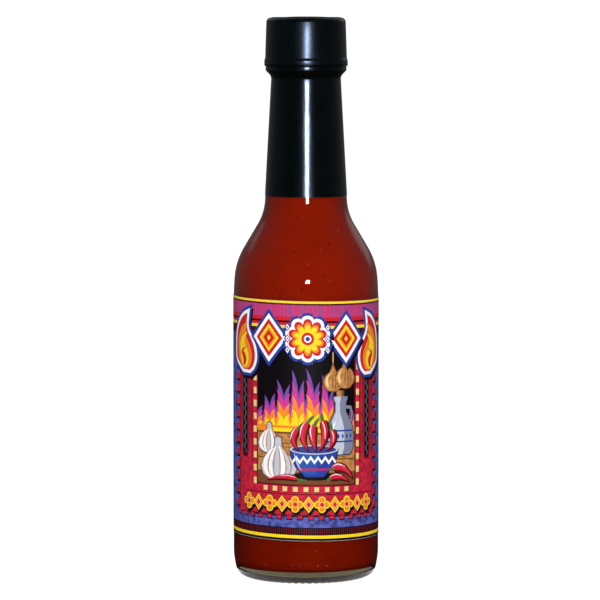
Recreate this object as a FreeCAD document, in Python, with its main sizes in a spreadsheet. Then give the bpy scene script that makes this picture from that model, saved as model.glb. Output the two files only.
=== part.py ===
import FreeCAD, Part
import math
import os
from collections import namedtuple

import Sketcher
from FreeCAD import Vector

# A five-ounce long-necked glass sauce bottle: clear glass, the sauce inside it, a screw
# cap, a shrink band over cap and neck, and a wrap-around paper label.
# Millimetres, +Z up. The origin is the centre of the ring that the bottle stands on,
# and the label's face looks along -Y.

SIZES = (
    # the glass: body and base
    ("body_radius", 23.0, "outside radius of the straight side"),
    ("glass_wall", 2.3, "thickness of the side and shoulder"),
    ("heel_inset", 1.2, "how far the heel's slope comes in by the base"),
    ("heel_height", 7.0, "height of the heel's slope"),
    ("heel_round", 4.0, "rounding between heel and base"),
    ("heel_top_round", 20.0, "rounding between heel and side"),
    ("bearing_inset", 6.4, "side to the inner edge of the ring it stands on"),
    ("bearing_round", 1.2, "rounding at that inner edge"),
    ("push_up", 1.7, "height of the hollow under the base"),
    ("push_up_inset", 14.0, "side to the level part of that hollow"),
    ("push_up_round", 22.0, "rounding between its slope and its level part"),
    ("base_thickness", 3.4, "standing ring to the inside floor at the wall"),
    ("floor_rise", 2.3, "rise of the inside floor at the middle"),
    ("floor_inset", 11.7, "inside wall to the level part of that floor"),
    ("floor_round", 30.0, "rounding of that rise"),
    ("inner_heel_round", 2.5, "rounding between inside floor and wall"),
    # the glass: shoulder and neck
    ("body_height", 89.5, "height where the side begins to taper"),
    ("shoulder_taper", 0.56, "how far the side has come in at the shoulder"),
    ("taper_height", 10.55, "height of that taper"),
    ("taper_round", 110.0, "rounding where the taper begins"),
    ("shoulder_round", 22.4, "rounding of the shoulder"),
    ("shoulder_drop", 0.6, "inside corner of the shoulder below the outside one"),
    ("slope_extra", 6.21, "how much taller the shoulder's slope is than it is wide"),
    ("neck_root_radius", 13.2, "neck's outside radius at its root"),
    ("neck_root_round", 17.0, "hollow rounding at the neck's root"),
    ("neck_length", 43.2, "root of the neck to its narrowest place"),
    ("neck_top_radius", 10.85, "outside radius at that narrowest place"),
    ("neck_top_round", 2.0, "hollow rounding below the bead"),
    ("neck_wall", 2.6, "thickness of the neck"),
    # the glass: bead and mouth
    ("flare_height", 1.85, "height of the slope below the bead"),
    ("finish_proud", 0.35, "how far the mouth inside the cap stands out past the neck"),
    ("bead_proud", 1.46, "how far the bead stands out past the mouth"),
    ("bead_height", 1.35, "height of the bead's upright face"),
    ("bead_round", 0.4, "rounding of the bead's edges"),
    ("lip_round", 0.6, "rounding of the mouth's rim"),
    # the sauce
    ("fill_height", 24.5, "neck's root to the sauce's surface"),
    # the screw cap
    ("cap_gap", 0.45, "bead to the cap's lower edge"),
    ("cap_depth", 13.2, "cap's lower edge to its inside panel"),
    ("panel_thickness", 1.35, "thickness of the cap's top panel"),
    ("thread_clearance", 0.15, "gap between the mouth and the cap's skirt"),
    ("skirt_wall", 1.03, "thickness of the skirt at its top"),
    ("skirt_draft", 0.4, "how much wider the skirt is above the flange"),
    ("flange_proud", 0.27, "how far the flange stands out past that"),
    ("flange_height", 1.25, "height of that flange"),
    ("flange_taper", 0.9, "height of the slope above the flange"),
    ("flange_round", 0.35, "rounding of the flange's edges"),
    ("cap_round", 1.45, "rounding of the cap's top corner"),
    ("disc_inset", 1.88, "skirt's top to the edge of the raised disc"),
    ("disc_height", 0.2, "height of the disc's edge"),
    ("dome_inset", 5.3, "disc's edge to the level part of its top"),
    ("dome_rise", 0.4, "rise of the disc from edge to middle"),
    ("dome_round", 100.0, "rounding of the disc's top"),
    # the shrink band
    ("film", 0.12, "thickness of the shrink band"),
    ("band_start", 5.6, "neck's root to the band's lower edge"),
    ("fold_gap", 0.12, "raised disc to the band's turned-up edge"),
    ("fold_height", 0.38, "height of that turned-up edge"),
    # the label
    ("label_low", 14.1, "height of the label's lower edge at the front"),
    ("label_margin", 0.2, "label's upper edge below the side's taper"),
    ("label_paper", 0.1, "thickness of the label"),
    ("label_skew", 0.5, "rise of its edges, askew, over the trim's half width"),
    ("label_seam", 3.0, "bare glass between the label's two ends at the back"),
    ("trim_reach", 5.0, "how far the trimming cuts run past the label"),
)

# Places that more than one piece shares, as sums and differences of the sizes above.
BODY_INSIDE = "body_radius - glass_wall"
SHOULDER_RADIUS = "body_radius - shoulder_taper"
SHOULDER_HEIGHT = "body_height + taper_height"
NECK_ROOT = SHOULDER_HEIGHT + " + " + SHOULDER_RADIUS + " - neck_root_radius + slope_extra"
NECK_TOP = NECK_ROOT + " + neck_length"
NECK_BORE = "neck_top_radius - neck_wall"
BEAD_LOW = NECK_TOP + " + flare_height"
BEAD_TOP = BEAD_LOW + " + bead_height"
CAP_LOW = BEAD_TOP + " + cap_gap"
FLANGE_TOP = CAP_LOW + " + flange_height"
SKIRT_LOW = FLANGE_TOP + " + flange_taper"
MOUTH = CAP_LOW + " + cap_depth"
CAP_TOP = MOUTH + " + panel_thickness"
FINISH_RADIUS = "neck_top_radius + finish_proud"
BEAD_RADIUS = FINISH_RADIUS + " + bead_proud"
CAP_BORE = FINISH_RADIUS + " + thread_clearance"
SKIRT_TOP_RADIUS = CAP_BORE + " + skirt_wall"
SKIRT_LOW_RADIUS = SKIRT_TOP_RADIUS + " + skirt_draft"
FLANGE_RADIUS = SKIRT_LOW_RADIUS + " + flange_proud"
DISC_RADIUS = SKIRT_TOP_RADIUS + " - disc_inset"
FILL_LEVEL = NECK_ROOT + " + fill_height"
BAND_LOW = NECK_ROOT + " + band_start"
FOLD_RADIUS = DISC_RADIUS + " + fold_gap"
LABEL_OUTSIDE = "body_radius + label_paper"
LABEL_TOP = "body_height - label_margin"
TRIM_WIDTH = LABEL_OUTSIDE + " + trim_reach"

# A corner of an outline: its name, its two places, its rounding where it has one, and its
# side of the upright axis, which is 1 on the right and -1 on the left.
Corner = namedtuple("Corner", "name across up round side", defaults=("", 1))

document = FreeCAD.newDocument("sauce_bottle")
sheet = document.addObject("Spreadsheet::Sheet", "sizes")
for row, (alias, size, meaning) in enumerate(SIZES, start=1):
    sheet.set(f"A{row}", meaning)
    sheet.set(f"B{row}", str(size))
    sheet.setAlias(f"B{row}", alias)
document.recompute()


def amount(formula):
    """The millimetres that a sum or difference of named sizes comes to."""
    total = 0.0
    sign = 1.0
    for word in formula.split():
        if word in "+-":
            sign = 1.0 if word == "+" else -1.0
        else:
            total += sign * float(sheet.get(word))
    return total


def bound(formula):
    """The same sum, as an expression that reads the sheet's cells."""
    return " ".join(word if word in "+-" else "sizes." + word for word in formula.split())


def place(corner):
    """A corner's point in its sketch."""
    return Vector(corner.side * amount(corner.across), amount(corner.up), 0)


def hold(sketch, kind, name, formula, *ends):
    """Adds a dimension that follows a formula of named sizes."""
    index = sketch.addConstraint(Sketcher.Constraint(kind, *ends, amount(formula)))
    sketch.renameConstraint(index, name)
    sketch.setExpression(f"Constraints.{name}", bound(formula))


def pin_point(sketch, corner, geometry, vertex):
    """Holds a point at its corner's place, on an axis where the place is zero."""
    if corner.across:
        ends = (geometry, vertex, -1, 1) if corner.side < 0 else (-1, 1, geometry, vertex)
        hold(sketch, "DistanceX", corner.name + "_across", corner.across, *ends)
    else:
        sketch.addConstraint(Sketcher.Constraint("PointOnObject", geometry, vertex, -2))
    if corner.up:
        hold(sketch, "DistanceY", corner.name + "_up", corner.up, -1, 1, geometry, vertex)
    else:
        sketch.addConstraint(Sketcher.Constraint("PointOnObject", geometry, vertex, -1))


def rounding(before, point, after, radius):
    """The arc of a rounded corner: its centre, where it begins and ends, and if it turns left."""
    back = (before - point).normalize()
    ahead = (after - point).normalize()
    half = back.getAngle(ahead) / 2
    reach = radius / math.tan(half)
    centre = point + (back + ahead).normalize() * (radius / math.sin(half))
    turns_left = (point - before).cross(after - point).z > 0
    return centre, point + back * reach, point + ahead * reach, turns_left


def add_arc(sketch, corner, before, point, after):
    """Draws a corner's rounding. Returns its number, its first and last vertex and its ends."""
    centre, begin, end, turns_left = rounding(before, point, after, amount(corner.round))
    circle = Part.Circle(centre, Vector(0, 0, 1), amount(corner.round))
    first, last = (begin, end) if turns_left else (end, begin)
    angles = [math.atan2(spot.y - centre.y, spot.x - centre.x) for spot in (first, last)]
    arc = sketch.addGeometry(Part.ArcOfCircle(circle, *angles), False)
    hold(sketch, "Radius", corner.name + "_round", corner.round, arc)
    return (arc, 1, 2, begin, end) if turns_left else (arc, 2, 1, begin, end)


def draw(sketch, corners):
    """Draws a closed outline of straight runs and rounded corners, all tied to the sheet."""
    points = [place(corner) for corner in corners]
    count = len(corners)
    arcs = {}
    for number, corner in enumerate(corners):
        if corner.round:
            around = (points[number - 1], points[number], points[(number + 1) % count])
            arcs[number] = add_arc(sketch, corner, *around)

    lines = []
    for number in range(count):
        follower = (number + 1) % count
        start = arcs[number][4] if number in arcs else points[number]
        finish = arcs[follower][3] if follower in arcs else points[follower]
        lines.append(sketch.addGeometry(Part.LineSegment(start, finish), False))

    for number, corner in enumerate(corners):
        arriving, leaving = lines[number - 1], lines[number]
        if number in arcs:
            arc, first, last = arcs[number][:3]
            sketch.addConstraint(Sketcher.Constraint("Tangent", arriving, 2, arc, first))
            sketch.addConstraint(Sketcher.Constraint("Tangent", leaving, 1, arc, last))
            apex = sketch.addGeometry(Part.Point(points[number]), True)
            pin_point(sketch, corner, apex, 1)
            sketch.addConstraint(Sketcher.Constraint("PointOnObject", apex, 1, arriving))
            sketch.addConstraint(Sketcher.Constraint("PointOnObject", apex, 1, leaving))
        else:
            sketch.addConstraint(Sketcher.Constraint("Coincident", arriving, 2, leaving, 1))
            pin_point(sketch, corner, leaving, 1)
    if sketch.solve() != 0:
        raise RuntimeError(f"{sketch.Name} can't be solved")


def new_body(name):
    """An empty body whose label names its file."""
    body = document.addObject("PartDesign::Body", name)
    body.Label = name
    return body


def new_sketch(body, name, role):
    """A sketch on one of the body's own origin planes."""
    sketch = body.newObject("Sketcher::SketchObject", name)
    plane = next(item for item in body.Origin.OriginFeatures if item.Role == role)
    sketch.AttachmentSupport = [(plane, "")]
    sketch.MapMode = "FlatFace"
    return sketch


def turn(body, kind, name, corners):
    """Turns an outline full circle about the upright axis, to add to the body or to cut it."""
    sketch = new_sketch(body, name + "_outline", "XZ_Plane")
    draw(sketch, corners)
    feature = body.newObject("PartDesign::" + kind, name)
    feature.Profile = sketch
    feature.ReferenceAxis = (sketch, ["V_Axis"])
    feature.Angle = 360
    document.recompute()


def cavity():
    """The outline of the bottle's inside, from its floor up to its mouth."""
    floor = "base_thickness + floor_rise"
    return [
        Corner("floor_middle", "", floor),
        Corner("floor_edge", BODY_INSIDE + " - floor_inset", floor, "floor_round"),
        Corner("inner_heel", BODY_INSIDE, "base_thickness", "inner_heel_round"),
        Corner("inner_side", BODY_INSIDE, "body_height", "taper_round"),
        Corner(
            "inner_shoulder",
            SHOULDER_RADIUS + " - glass_wall",
            SHOULDER_HEIGHT + " - shoulder_drop",
            "shoulder_round - glass_wall",
        ),
        Corner("inner_root", "neck_root_radius - neck_wall", NECK_ROOT, "neck_root_round + neck_wall"),
        Corner("inner_neck", NECK_BORE, NECK_TOP),
        Corner("mouth_edge", NECK_BORE, MOUTH),
        Corner("mouth_middle", "", MOUTH),
    ]


def build_bottle():
    """The clear glass: turned outside, then hollowed."""
    body = new_body("glass_bottle")
    outside = [
        Corner("base_middle", "", "push_up"),
        Corner("base_level", "body_radius - push_up_inset", "push_up", "push_up_round"),
        Corner("bearing", "body_radius - bearing_inset", "", "bearing_round"),
        Corner("heel", "body_radius - heel_inset", "", "heel_round"),
        Corner("heel_top", "body_radius", "heel_height", "heel_top_round"),
        Corner("side_top", "body_radius", "body_height", "taper_round"),
        Corner("shoulder", SHOULDER_RADIUS, SHOULDER_HEIGHT, "shoulder_round"),
        Corner("neck_root", "neck_root_radius", NECK_ROOT, "neck_root_round"),
        Corner("neck_top", "neck_top_radius", NECK_TOP, "neck_top_round"),
        Corner("bead_low", BEAD_RADIUS, BEAD_LOW, "bead_round"),
        Corner("bead_top", BEAD_RADIUS, BEAD_TOP, "bead_round"),
        Corner("finish_foot", FINISH_RADIUS, BEAD_TOP),
        Corner("rim", FINISH_RADIUS, MOUTH, "lip_round"),
        Corner("rim_middle", "", MOUTH),
    ]
    turn(body, "Revolution", "glass_outside", outside)
    turn(body, "Groove", "glass_hollow", cavity())
    return body


def build_sauce():
    """The sauce: all of the inside of the glass, cut off level at its surface."""
    body = new_body("hot_sauce")
    turn(body, "Revolution", "sauce_volume", cavity())
    air = [
        Corner("surface_middle", "", FILL_LEVEL),
        Corner("surface_edge", "body_radius", FILL_LEVEL),
        Corner("air_edge", "body_radius", CAP_TOP),
        Corner("air_middle", "", CAP_TOP),
    ]
    turn(body, "Groove", "sauce_surface", air)
    return body


def build_cap():
    """The screw cap: a flanged skirt under a top panel with a low raised disc."""
    body = new_body("screw_cap")
    disc_top = CAP_TOP + " + disc_height + dome_rise"
    outline = [
        Corner("skirt_inside", CAP_BORE, CAP_LOW),
        Corner("flange_low", FLANGE_RADIUS, CAP_LOW, "flange_round"),
        Corner("flange_top", FLANGE_RADIUS, FLANGE_TOP, "flange_round"),
        Corner("skirt_low", SKIRT_LOW_RADIUS, SKIRT_LOW, "cap_round"),
        Corner("skirt_top", SKIRT_TOP_RADIUS, CAP_TOP, "cap_round"),
        Corner("disc_foot", DISC_RADIUS, CAP_TOP),
        Corner("disc_edge", DISC_RADIUS, CAP_TOP + " + disc_height"),
        Corner("disc_level", DISC_RADIUS + " - dome_inset", disc_top, "dome_round"),
        Corner("disc_middle", "", disc_top),
        Corner("panel_middle", "", MOUTH),
        Corner("panel_edge", CAP_BORE, MOUTH),
    ]
    turn(body, "Revolution", "cap_turned", outline)
    return body


def build_band():
    """The shrink band: a film drawn over neck, bead and cap, its top edge turned up."""
    body = new_body("shrink_band")
    inside = [
        Corner("root_inside", "neck_root_radius", NECK_ROOT),
        Corner("neck_inside", "neck_top_radius", NECK_TOP, "neck_top_round"),
        Corner("bead_inside", BEAD_RADIUS, BEAD_LOW, "bead_round"),
        Corner("step_inside", BEAD_RADIUS, BEAD_TOP),
        Corner("flange_inside", FLANGE_RADIUS, CAP_LOW),
        Corner("flange_top_inside", FLANGE_RADIUS, FLANGE_TOP, "flange_round"),
        Corner("skirt_inside", SKIRT_LOW_RADIUS, SKIRT_LOW, "cap_round"),
        Corner("corner_inside", SKIRT_TOP_RADIUS, CAP_TOP, "cap_round"),
        Corner("fold_inside", FOLD_RADIUS, CAP_TOP),
        Corner("edge_inside", FOLD_RADIUS, CAP_TOP + " + fold_height"),
    ]
    outside = [
        Corner("edge", FOLD_RADIUS + " + film", CAP_TOP + " + fold_height"),
        Corner("fold", FOLD_RADIUS + " + film", CAP_TOP + " + film", "film"),
        Corner("corner", SKIRT_TOP_RADIUS + " + film", CAP_TOP + " + film", "cap_round + film"),
        Corner("skirt", SKIRT_LOW_RADIUS + " + film", SKIRT_LOW, "cap_round"),
        Corner("flange_top", FLANGE_RADIUS + " + film", FLANGE_TOP, "flange_round + film"),
        Corner("flange", FLANGE_RADIUS + " + film", CAP_LOW, "flange_round + film"),
        Corner("step", BEAD_RADIUS + " + film", BEAD_TOP, "flange_round"),
        Corner("bead", BEAD_RADIUS + " + film", BEAD_LOW, "bead_round + film"),
        Corner("neck", "neck_top_radius + film", NECK_TOP, "neck_top_round"),
        Corner("root", "neck_root_radius + film", NECK_ROOT),
    ]
    turn(body, "Revolution", "film_turned", inside + outside)
    below = [
        Corner("trim_foot", NECK_BORE, SHOULDER_HEIGHT),
        Corner("trim_foot_edge", "body_radius", SHOULDER_HEIGHT),
        Corner("trim_top_edge", "body_radius", BAND_LOW),
        Corner("trim_top", NECK_BORE, BAND_LOW),
    ]
    turn(body, "Groove", "film_trimmed", below)
    return body


def trim_label(body, name, edge, beyond):
    """Cuts the label along one askew edge, and all of it from there to the place beyond."""
    sketch = new_sketch(body, name + "_outline", "XZ_Plane")
    waste = [
        Corner("raised", TRIM_WIDTH, edge + " + label_skew", side=-1),
        Corner("lowered", TRIM_WIDTH, edge + " - label_skew"),
        Corner("beyond_right", TRIM_WIDTH, beyond),
        Corner("beyond_left", TRIM_WIDTH, beyond, side=-1),
    ]
    draw(sketch, waste)
    cut = body.newObject("PartDesign::Pocket", name)
    cut.Profile = sketch
    cut.Type = "ThroughAll"
    cut.Midplane = True
    document.recompute()


def build_label():
    """The paper label: a curved strip with a gap at the back, its edges a little askew."""
    body = new_body("label")
    sketch = new_sketch(body, "paper_section", "YZ_Plane")
    low = "label_low - trim_reach"
    top = LABEL_TOP + " + trim_reach"
    section = [
        Corner("low_inside", "body_radius", low, side=-1),
        Corner("top_inside", "body_radius", top, side=-1),
        Corner("top_outside", LABEL_OUTSIDE, top, side=-1),
        Corner("low_outside", LABEL_OUTSIDE, low, side=-1),
    ]
    draw(sketch, section)
    paper = body.newObject("PartDesign::Revolution", "paper_wrapped")
    paper.Profile = sketch
    paper.ReferenceAxis = (sketch, ["V_Axis"])
    paper.Midplane = True
    paper.setExpression("Angle", "360 - sizes.label_seam / sizes.body_radius * 180 / pi")
    document.recompute()
    trim_label(body, "paper_foot", "label_low", "label_low - trim_reach - trim_reach")
    trim_label(body, "paper_head", LABEL_TOP, LABEL_TOP + " + trim_reach + trim_reach")
    return body


def check(bodies):
    """Stops where any object has failed or any piece's shape is missing or broken."""
    for item in document.Objects:
        if "Invalid" in item.State or "Error" in item.State:
            raise RuntimeError(f"{item.Name} has failed")
    for piece in bodies:
        if piece.Shape.isNull() or not piece.Shape.isValid() or len(piece.Shape.Solids) != 1:
            raise RuntimeError(f"{piece.Label} isn't one sound solid")


pieces = [build_bottle(), build_sauce(), build_cap(), build_band(), build_label()]
document.recompute()
check(pieces)

os.makedirs("parts", exist_ok=True)
for piece in pieces:
    piece.Placement = FreeCAD.Placement()
    piece.Shape.exportStep(f"parts/{piece.Label}.step")
    box = piece.Shape.BoundBox
    print(f"{piece.Label}: {piece.Shape.Volume / 1000:.2f} ml, {box.ZMin:.2f} to {box.ZMax:.2f} mm up")
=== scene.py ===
"""A hot sauce bottle: clear glass, red sauce, a cap under a black shrink band, and a paper label."""

import logging
import math
from dataclasses import dataclass, field
from enum import Enum

import bmesh
import bpy
from mathutils import Matrix, Vector
from mathutils.geometry import delaunay_2d_cdt


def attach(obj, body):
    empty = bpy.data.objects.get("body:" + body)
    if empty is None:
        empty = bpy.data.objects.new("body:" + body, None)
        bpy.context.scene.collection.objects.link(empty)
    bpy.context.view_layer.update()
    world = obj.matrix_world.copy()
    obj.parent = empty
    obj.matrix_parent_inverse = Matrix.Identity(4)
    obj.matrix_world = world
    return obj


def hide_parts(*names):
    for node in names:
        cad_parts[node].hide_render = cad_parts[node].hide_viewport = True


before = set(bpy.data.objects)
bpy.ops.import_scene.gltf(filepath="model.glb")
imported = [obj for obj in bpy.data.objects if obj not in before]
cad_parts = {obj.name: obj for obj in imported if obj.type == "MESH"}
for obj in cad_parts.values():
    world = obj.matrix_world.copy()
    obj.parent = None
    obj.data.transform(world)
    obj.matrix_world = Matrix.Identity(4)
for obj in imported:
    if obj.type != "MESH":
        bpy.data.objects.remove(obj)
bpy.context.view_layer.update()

MM = 0.001
LOG = logging.getLogger("bottle")
MARKS = "marks"
SHEET_MAP = "Print"
SIDES = (-1.0, 1.0)
NECK_ROOT = 7

Colour = tuple[float, float, float]
Points = list[tuple[float, float]]


class Slot(Enum):
    """The finishes that the part's record names."""

    GLASS = "clear_glass"
    SAUCE = "hot_sauce"
    CAP = "cap_plastic"
    FILM = "band_film"
    PAPER = "label_paper"


class Node(Enum):
    """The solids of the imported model."""

    BOTTLE = "glass_bottle"
    SAUCE = "hot_sauce"
    CAP = "screw_cap"
    BAND = "shrink_band"
    LABEL = "label"


# ---------------------------------------------------------------- turned outlines


@dataclass(frozen=True)
class Corner:
    """One corner of a turned outline, in millimetres."""

    across: float
    up: float
    round: float = 0.0

    @property
    def point(self) -> Vector:
        """The corner in the plane of the outline."""
        return Vector((self.across, 0.0, self.up))


class Outline:
    """Draws an outline, edge by edge, in the plane across the axis."""

    def __init__(self, corners: list[Corner], fineness: float = 0.012) -> None:
        """Keeps the corners.

        Args:
            corners: The corners from the first end to the last.
            fineness: How far a chord may leave its arc, in millimetres.
        """
        self.corners = corners
        self.fineness = fineness

    def _steps(self, radius: float, turn: float) -> int:
        """Says how many chords an arc needs.

        Args:
            radius: The arc's radius in millimetres.
            turn: The angle it turns through, in radians.

        Returns:
            The number of chords.
        """
        step = 2.0 * math.acos(max(0.0, 1.0 - self.fineness / radius))
        return max(2, math.ceil(abs(turn) / min(step, math.radians(16.0))))

    def draw(self, mesh: bmesh.types.BMesh, run: float = 4.0) -> list[bmesh.types.BMVert]:
        """Draws the outline as a chain of edges.

        Args:
            mesh: The mesh that takes the chain.
            run: The longest edge left on a straight stretch, in millimetres.

        Returns:
            The chain's vertices, in order.
        """
        chain = [mesh.verts.new(self.corners[0].point)]
        for before, here, after in zip(self.corners, self.corners[1:], self.corners[2:]):
            into, away = (here.point - before.point).normalized(), (after.point - here.point).normalized()
            turn = math.atan2(into.cross(away).y, into.dot(away))
            if here.round <= 0.0 or abs(turn) < 1e-4:
                self._straight(mesh, chain, here.point, run)
                continue
            reach = here.round * math.tan(abs(turn) / 2.0)
            self._straight(mesh, chain, here.point - into * reach, run)
            side = Vector((into.z, 0.0, -into.x)) * math.copysign(1.0, turn)
            centre = chain[-1].co + side * here.round
            made = bmesh.ops.spin(
                mesh, geom=[chain[-1]], cent=centre, axis=(0.0, 1.0, 0.0), angle=turn,
                steps=self._steps(here.round, turn), use_duplicate=False,
            )
            self._follow(chain, made["geom_last"][0])
        self._straight(mesh, chain, self.corners[-1].point, run)
        return chain

    @staticmethod
    def _follow(chain: list[bmesh.types.BMVert], last: bmesh.types.BMVert) -> None:
        """Adds the vertices from the chain's end to a new last one.

        Args:
            chain: The chain, which grows.
            last: The newest vertex.
        """
        while chain[-1] is not last:
            here = chain[-1]
            onward = [e.other_vert(here) for e in here.link_edges]
            chain.append(next(v for v in onward if len(chain) < 2 or v is not chain[-2]))

    @staticmethod
    def _straight(
        mesh: bmesh.types.BMesh, chain: list[bmesh.types.BMVert], to: Vector, run: float
    ) -> None:
        """Goes straight to a point, in steps no longer than the run.

        Args:
            mesh: The mesh that holds the chain.
            chain: The chain, which grows.
            to: The point to reach.
            run: The longest step, in millimetres.
        """
        way = to - chain[-1].co
        if way.length < 1e-5:
            return
        for _ in range(steps := max(1, math.ceil(way.length / run))):
            made = bmesh.ops.extrude_vert_indiv(mesh, verts=[chain[-1]])
            made["verts"][0].co = chain[-1].co + way / steps
            chain.append(made["verts"][0])


def turn_solid(mesh: bmesh.types.BMesh, steps: int) -> None:
    """Turns the outline in a mesh about the bottle's axis into a closed skin.

    Args:
        mesh: The mesh that holds the outline, in millimetres.
        steps: The number of steps round the axis.
    """
    bmesh.ops.spin(
        mesh, geom=mesh.verts[:] + mesh.edges[:], cent=(0.0, 0.0, 0.0), axis=(0.0, 0.0, 1.0),
        angle=math.tau, steps=steps, use_merge=True, use_duplicate=False,
    )
    bmesh.ops.remove_doubles(mesh, verts=mesh.verts[:], dist=1e-4)
    bmesh.ops.recalc_face_normals(mesh, faces=mesh.faces[:])


def as_object(
    mesh: bmesh.types.BMesh, name: str, materials: list[bpy.types.Material]
) -> bpy.types.Object:
    """Turns a mesh into an object of the scene, at the origin.

    Args:
        mesh: The finished mesh, in metres, which is freed.
        name: The object's name.
        materials: The materials of its faces.

    Returns:
        The object.
    """
    data = bpy.data.meshes.new(name)
    mesh.to_mesh(data)
    mesh.free()
    for material in materials:
        data.materials.append(material)
    made = bpy.data.objects.new(name, data)
    bpy.context.scene.collection.objects.link(made)
    return made


def finish_piece(
    mesh: bmesh.types.BMesh, name: str, node: Node, materials: list[bpy.types.Material],
    smooth_below: float = 32.0,
) -> bpy.types.Object:
    """Makes a mesh a piece of the bottle.

    Args:
        mesh: The finished mesh, in millimetres.
        name: The piece's name.
        node: The solid that it stands for.
        materials: The materials of its faces.
        smooth_below: Edges turned less than this many degrees shade smoothly.

    Returns:
        The piece, which rides on the bottle.
    """
    bmesh.ops.scale(mesh, vec=(MM, MM, MM), verts=mesh.verts[:])
    for edge in mesh.edges:
        edge.smooth = len(edge.link_faces) == 2 and edge.calc_face_angle(0.0) < math.radians(smooth_below)
    for face in mesh.faces:
        face.smooth = True
    piece = as_object(mesh, name, materials)
    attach(piece, "root")
    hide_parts(node.value)
    LOG.info("%s: %d faces", name, len(piece.data.polygons))
    return piece


# ---------------------------------------------------------------- finishes


def shaded(colour: Colour, by: float) -> Colour:
    """Gives a colour made lighter or darker."""
    return tuple(share * by for share in colour)


class Tree:
    """Adds nodes to one node tree and joins them."""

    def __init__(self, tree: bpy.types.NodeTree) -> None:
        """Empties the tree.

        Args:
            tree: The node tree.
        """
        self.nodes, self.links = tree.nodes, tree.links
        self.nodes.clear()

    def link(self, out: bpy.types.NodeSocket, into: bpy.types.NodeSocket) -> None:
        """Joins two sockets."""
        self.links.new(out, into)

    def maths(self, kind: str, value: bpy.types.NodeSocket, by: float = 0.0) -> bpy.types.NodeSocket:
        """Does one sum.

        Args:
            kind: Which sum.
            value: The first number.
            by: The second number.

        Returns:
            The answer.
        """
        node = self.nodes.new("ShaderNodeMath")
        node.operation = kind
        node.inputs[1].default_value = by
        self.link(value, node.inputs[0])
        return node.outputs[0]

    def joined(
        self, kind: str, one: bpy.types.NodeSocket, other: bpy.types.NodeSocket
    ) -> bpy.types.NodeSocket:
        """Does one sum of two patterns.

        Args:
            kind: Which sum.
            one: The first pattern.
            other: The second pattern.

        Returns:
            The answer.
        """
        answer = self.maths(kind, one)
        self.link(other, answer.node.inputs[1])
        return answer

    def ramp(
        self, value: bpy.types.NodeSocket, ends: tuple[float, float], to: tuple[float, float]
    ) -> bpy.types.NodeSocket:
        """Turns one range of a value into another, and holds it past the ends.

        Args:
            value: The value.
            ends: Where the range starts and ends.
            to: What the two ends become.

        Returns:
            The new value.
        """
        node = self.nodes.new("ShaderNodeMapRange")
        names = ("From Min", "From Max", "To Min", "To Max")
        for name, number in zip(names, (*ends, *to)):
            node.inputs[name].default_value = number
        self.link(value, node.inputs["Value"])
        return node.outputs["Result"]

    def split(self, vector: bpy.types.NodeSocket) -> bpy.types.NodeOutputs:
        """Gives a vector's three numbers, named X, Y and Z."""
        node = self.nodes.new("ShaderNodeSeparateXYZ")
        self.link(vector, node.inputs["Vector"])
        return node.outputs


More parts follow.
